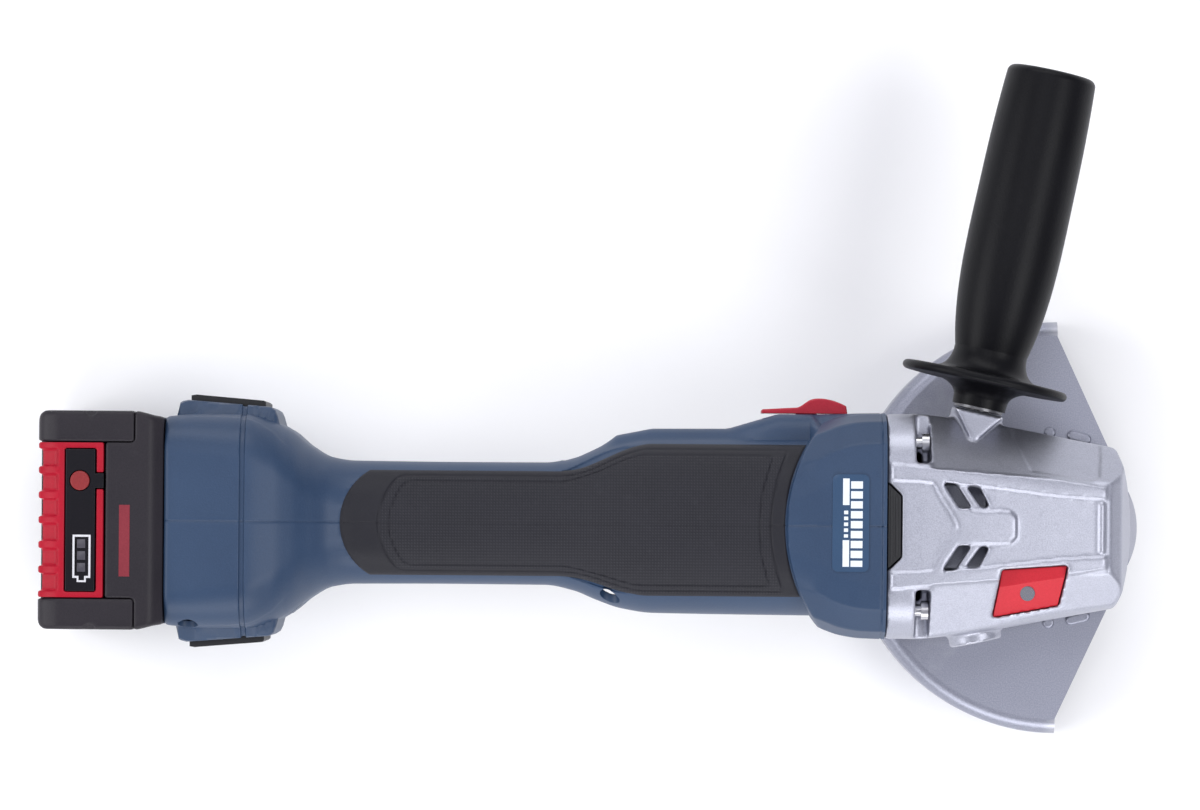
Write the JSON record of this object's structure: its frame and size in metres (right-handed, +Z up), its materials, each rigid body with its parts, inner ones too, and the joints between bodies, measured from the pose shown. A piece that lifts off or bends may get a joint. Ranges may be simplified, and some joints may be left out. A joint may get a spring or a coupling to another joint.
{
  "type": "cordless angle grinder",
  "caption": "Cordless angle grinder with a slide-on battery, a half-round wheel guard and a screw-in side handle.",
  "frame": {"origin": "on the spindle axis, where the bare end of its thread begins just below the clamping nut", "axes": "+X forward along the body to the nose, +Y towards the fitted side handle, +Z up out of the gear head along the spindle"},
  "size_m": [0.3777, 0.2307, 0.1165],
  "materials": {
    "blue_housing": "fine-textured moulded nylon",
    "black_rubber": "soft overmoulded grip, knurled",
    "black_plastic": "satin moulded nylon",
    "red_plastic": "satin moulded",
    "cast_alloy": "die cast, fine tumbled",
    "machined_alloy": "turned",
    "guard_steel": "pressed sheet, plated",
    "steel": "turned or ground",
    "screw_steel": "zinc plated",
    "label_film": "printed film",
    "copper": "enamelled winding",
    "circuit_board": "coated board",
    "battery_cell": "sleeved steel can",
    "wire": "silicone sleeve",
    "fan_plastic": "glass-filled nylon"
  },
  "bodies": {
    "tool": {"housing_left": "blue_housing", "housing_right": "blue_housing", "grip_left": "black_rubber", "grip_right": "black_rubber", "vent_grille_left": "black_plastic", "vent_grille_right": "black_plastic", "housing_screws": "screw_steel", "info_label": "label_film", "gear_housing": "cast_alloy", "bearing_flange": "machined_alloy", "flange_screws": "screw_steel", "gearbox_screws": "screw_steel", "air_baffle": "black_plastic", "needle_bearing": "steel", "spindle_bearing_outer": "steel", "spindle_seal": "black_rubber", "front_bearing_outer": "steel", "rear_bearing_outer": "steel", "rear_bearing_sleeve": "black_rubber", "stator_core": "steel", "stator_windings": "copper", "sensor_board": "circuit_board", "switch_module": "black_plastic", "controller_tray": "black_plastic", "controller_board": "circuit_board", "terminal_block": "black_plastic", "terminal_blades": "steel", "motor_wires": "wire", "lock_spring": "steel"},
    "output_spindle": {"spindle": "steel", "bevel_gear": "steel", "spindle_bearing_inner": "steel", "backing_flange": "steel", "spindle_circlip": "steel"},
    "nut": {"clamp_nut": "steel"},
    "rotor": {"motor_shaft": "steel", "rotor_core": "steel", "rotor_magnets": "steel", "cooling_fan": "fan_plastic", "bevel_pinion": "steel", "front_bearing_inner": "steel", "rear_bearing_inner": "steel"},
    "switch": {"switch_slider": "red_plastic", "switch_rod": "black_plastic"},
    "lock": {"lock_button": "red_plastic", "lock_pin": "steel"},
    "guard": {"guard_shell": "guard_steel", "guard_band": "guard_steel", "lever_pin": "steel"},
    "lever": {"guard_lever": "guard_steel"},
    "side_handle": {"handle_grip": "black_plastic", "handle_stud": "steel"},
    "battery": {"battery_tray": "black_plastic", "battery_lid": "black_plastic", "battery_cells": "battery_cell", "battery_board": "circuit_board", "battery_screws": "screw_steel", "charge_panel": "black_plastic"},
    "release": {"release_button": "red_plastic"},
    "charge": {"charge_button": "red_plastic"}
  },
  "joints": [
    {"name": "spindle_spin", "type": "hinge", "parent": "tool", "child": "output_spindle", "pos_m": [0, 0, 0], "axis": [0, 0, 1], "continuous": true},
    {"name": "rotor_spin", "type": "hinge", "parent": "tool", "child": "rotor", "pos_m": [-0.1, 0, 0.062], "axis": [1, 0, 0], "continuous": true},
    {"name": "nut_unscrew", "type": "slide", "parent": "output_spindle", "child": "nut", "axis": [0, 0, -1], "range_m": [0, 0.03]},
    {"name": "switch_slide", "type": "slide", "parent": "tool", "child": "switch", "axis": [1, 0, 0], "range_m": [0, 0.007]},
    {"name": "lock_press", "type": "slide", "parent": "tool", "child": "lock", "axis": [0, 0, -1], "range_m": [0, 0.004], "stiffness_N_per_m": 600, "deforming": ["lock_spring"]},
    {"name": "guard_turn", "type": "hinge", "parent": "tool", "child": "guard", "pos_m": [0, 0, 0.02], "axis": [0, 0, 1], "range_deg": [-120, 120]},
    {"name": "guard_lever_open", "type": "hinge", "parent": "guard", "child": "lever", "pos_m": [-0.03172, -0.0091, 0.0219], "axis": [0, 0, -1], "range_deg": [0, 60]},
    {"name": "handle_unscrew", "type": "slide", "parent": "tool", "child": "side_handle", "axis": [0.2079, 0.9781, 0], "range_m": [0, 0.06]},
    {"name": "battery_slide", "type": "slide", "parent": "tool", "child": "battery", "axis": [0, 0, 1], "range_m": [0, 0.11]},
    {"name": "release_press", "type": "slide", "parent": "battery", "child": "release", "axis": [0, 0, -1], "range_m": [0, 0.003], "stiffness_N_per_m": 600},
    {"name": "charge_press", "type": "slide", "parent": "battery", "child": "charge", "axis": [0, 0, -1], "range_m": [0, 0.0006], "stiffness_N_per_m": 600}
  ],
  "couplings": [
    {"joint": "rotor_spin", "follows": "spindle_spin", "ratio": 3.4545}
  ]
}
